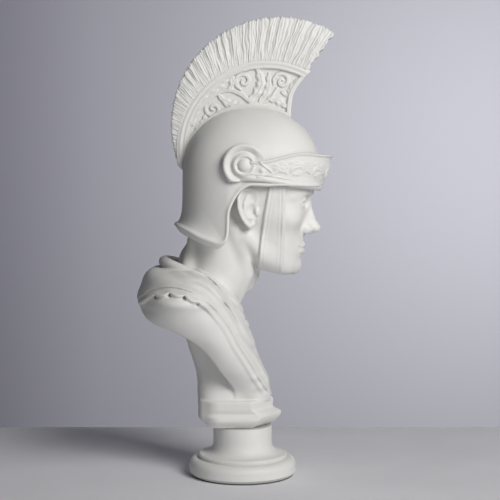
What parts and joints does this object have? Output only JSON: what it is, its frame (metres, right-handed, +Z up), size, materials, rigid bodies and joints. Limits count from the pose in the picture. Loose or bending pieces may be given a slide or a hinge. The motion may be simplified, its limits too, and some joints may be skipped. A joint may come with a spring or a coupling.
{
  "type": "bust",
  "caption": "Helmeted soldier's bust in white marble, with a tall crest, draped shoulders, a hollowed back and a turned socle.",
  "frame": {"origin": "on the socle's turning axis, at the underside of the felt pad that the bust stands on", "axes": "+Z up the socle's axis; the bust faces -Y, so its own right side is towards -X"},
  "size_m": [0.3238, 0.3057, 0.7],
  "materials": {
    "marble": "matte honed white marble, without visible veins",
    "stainless": "plain turned stainless steel",
    "brass": "plain turned brass",
    "shim": "pale grey nylon sheet",
    "felt": "dark grey wool felt"
  },
  "bodies": {
    "root": {"bust": "marble", "crest": "marble", "crest_dowels": "stainless", "socle": "marble", "joint_shim": "shim", "locating_pin": "stainless", "rod_sleeve": "brass", "tie_rod": "stainless", "plate_washer": "stainless", "spring_washer": "stainless", "nut": "stainless", "felt_pad": "felt"}
  },
  "joints": []
}
